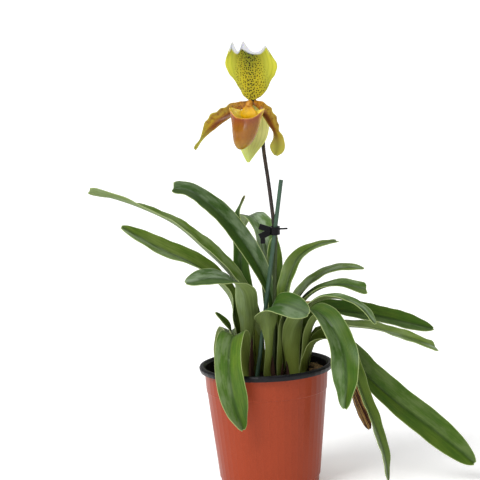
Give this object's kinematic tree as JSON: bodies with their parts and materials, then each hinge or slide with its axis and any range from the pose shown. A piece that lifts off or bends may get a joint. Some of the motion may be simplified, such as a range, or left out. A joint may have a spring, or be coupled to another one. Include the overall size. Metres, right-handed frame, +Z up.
{
  "type": "potted slipper orchid",
  "caption": "Slipper orchid with arching strap leaves and a single bloom on a staked stem, growing in bark in a round plastic pot.",
  "frame": {"origin": "centre of the flat underside of the pot, on the surface that it stands on", "axes": "+Z up along the pot's axis, towards the bloom; -Y towards the viewer, whom the bloom faces; +X to the viewer's right, where the longest low leaf reaches out"},
  "size_m": [0.3335, 0.1799, 0.3973],
  "materials": {
    "pot_plastic": "thin terracotta-coloured plastic, satin outside, dark inside and on the rim",
    "potting_bark": "broken bark, dull",
    "root": "fibrous, dull",
    "leaf_green": "waxy green leaf with a soft sheen and pale margins",
    "leaf_brown": "green leaf that has dried brown at its tip",
    "leaf_yellow": "yellowing leaf, half dry",
    "stake_green": "dark green coated rod, satin",
    "clip_black": "black moulded plastic, satin",
    "stem_purple": "dark purple-brown, finely hairy",
    "bract_green": "green sheath",
    "sepal_green": "yellow-green petal tissue with brown-green spots and veins",
    "petal_bronze": "glossy bronze-yellow petal tissue with a brown midrib",
    "lip_amber": "glossy amber-brown petal tissue",
    "column_yellow": "waxy yellow"
  },
  "bodies": {
    "root": {"pot": "pot_plastic", "potting_mix": "potting_bark", "rootstock": "root", "leaf_a_front_droop": "leaf_green", "leaf_a_small": "leaf_green", "leaf_a_left": "leaf_green", "leaf_a_front_left": "leaf_green", "leaf_a_back": "leaf_green", "leaf_b_left_long": "leaf_green", "leaf_b_upright": "leaf_green", "leaf_c_upper_right": "leaf_green", "leaf_c_upper_left": "leaf_green", "leaf_d_young": "leaf_green", "leaf_d_far_back": "leaf_green", "leaf_d_mid_right": "leaf_green", "leaf_d_top_right": "leaf_green", "leaf_e_front_droop": "leaf_green", "leaf_e_low_right": "leaf_green", "leaf_e_hanging": "leaf_green", "leaf_e_front_right": "leaf_green", "leaf_f_brown": "leaf_brown", "leaf_f_right": "leaf_green", "leaf_f_far_right": "leaf_green", "leaf_f_yellowing": "leaf_yellow", "leaf_f_back": "leaf_green", "leaf_g_front_right": "leaf_green", "flower_stem": "stem_purple", "bract": "bract_green", "dorsal_sepal": "sepal_green", "lateral_sepals": "sepal_green", "petal_left": "petal_bronze", "petal_right": "petal_bronze", "pouch": "lip_amber", "column": "column_yellow", "stake": "stake_green", "stem_clip": "clip_black"}
  },
  "joints": []
}
